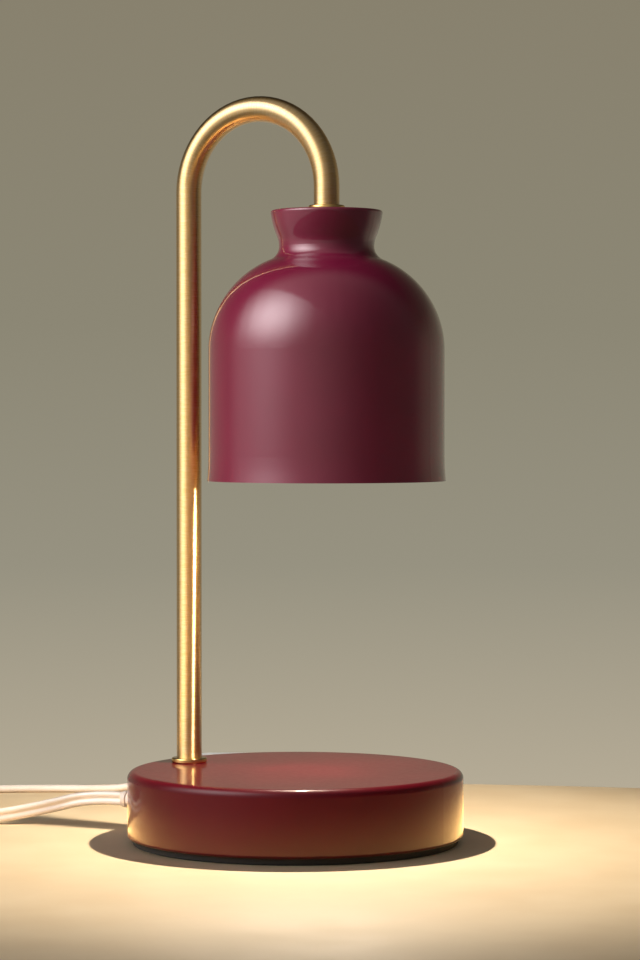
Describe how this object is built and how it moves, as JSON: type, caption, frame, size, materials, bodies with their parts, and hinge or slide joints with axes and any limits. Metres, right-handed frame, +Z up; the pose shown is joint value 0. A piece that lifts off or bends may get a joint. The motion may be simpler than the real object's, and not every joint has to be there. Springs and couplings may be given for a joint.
{
  "type": "candle warmer lamp",
  "caption": "Table lamp that warms a jar candle: weighted round base, bent brass tube and burgundy bell shade with a downward reflector bulb, in-line dimmer and flat cord.",
  "frame": {"origin": "middle of the base, on the surface that the lamp stands on", "axes": "+Z up, +X from the tube's foot towards the shade, XZ is the plane of the arm"},
  "size_m": [0.2813, 0.2207, 0.289],
  "materials": {
    "burgundy_enamel": "gloss enamel with a fine orange peel",
    "burgundy_lacquer": "satin gloss lacquer, pale inside",
    "brushed_brass": "satin, brushed along the tube",
    "polished_brass": "polished",
    "cast_iron": "as cast",
    "zinc_steel": "bright zinc",
    "nickel_steel": "nickel plated",
    "contact_brass": "sprung brass",
    "nickel_brass": "nickel plated brass",
    "black_foam": "closed cell foam",
    "clear_pvc": "clear, glossy",
    "white_pvc": "moulded, satin",
    "white_abs": "moulded, fine gloss",
    "natural_nylon": "natural",
    "white_silicone": "matt",
    "steatite": "unglazed ceramic",
    "mirrored_glass": "aluminised facets",
    "clear_glass": "clear",
    "board_laminate": "laminate",
    "black_epoxy": "moulded",
    "tie_plastic": "plastic coated wire"
  },
  "bodies": {
    "lamp": {"base_shell": "burgundy_enamel", "counterweight": "cast_iron", "base_plate": "zinc_steel", "base_plate_screws": "zinc_steel", "base_pad": "black_foam", "cord_gland": "clear_pvc", "supply_cores": "clear_pvc", "crimp_caps": "natural_nylon", "arm_tube": "brushed_brass", "arm_leads": "white_silicone", "foot_collar": "polished_brass", "foot_washer": "zinc_steel", "foot_nut": "zinc_steel", "shade": "burgundy_lacquer", "shade_collar": "polished_brass", "neck_washer": "zinc_steel", "neck_nut": "zinc_steel", "lampholder_bracket": "zinc_steel", "bracket_screws": "zinc_steel", "lampholder": "steatite", "lampholder_contacts": "contact_brass", "dimmer_top_shell": "white_abs", "dimmer_bottom_shell": "white_abs", "dimmer_potentiometer": "nickel_steel", "dimmer_board": "board_laminate", "dimmer_components": "black_epoxy", "dimmer_screws": "zinc_steel", "dimmer_boots": "clear_pvc", "cord_lead": "clear_pvc", "cord_run": "clear_pvc", "cord_coil": "clear_pvc", "cord_tail": "clear_pvc", "coil_tie": "tie_plastic", "plug_body": "white_pvc", "plug_blades": "nickel_brass"},
    "bulb": {"bulb_reflector": "mirrored_glass", "bulb_lens": "clear_glass", "bulb_cap": "steatite", "bulb_pins": "nickel_steel", "bulb_capsule": "clear_glass"},
    "thumb_wheel": {"dimmer_wheel": "white_abs", "dimmer_spindle": "nickel_steel"}
  },
  "joints": [
    {"name": "bulb_twist", "type": "hinge", "parent": "lamp", "child": "bulb", "pos_m": [0.014, 0, 0.196], "axis": [0, 0, 1], "range_deg": [-30, 0]},
    {"name": "dimmer_turn", "type": "hinge", "parent": "lamp", "child": "thumb_wheel", "pos_m": [-0.09528, 0.12781, 0.0084], "axis": [0, 0, 1], "range_deg": [0, 270]}
  ]
}
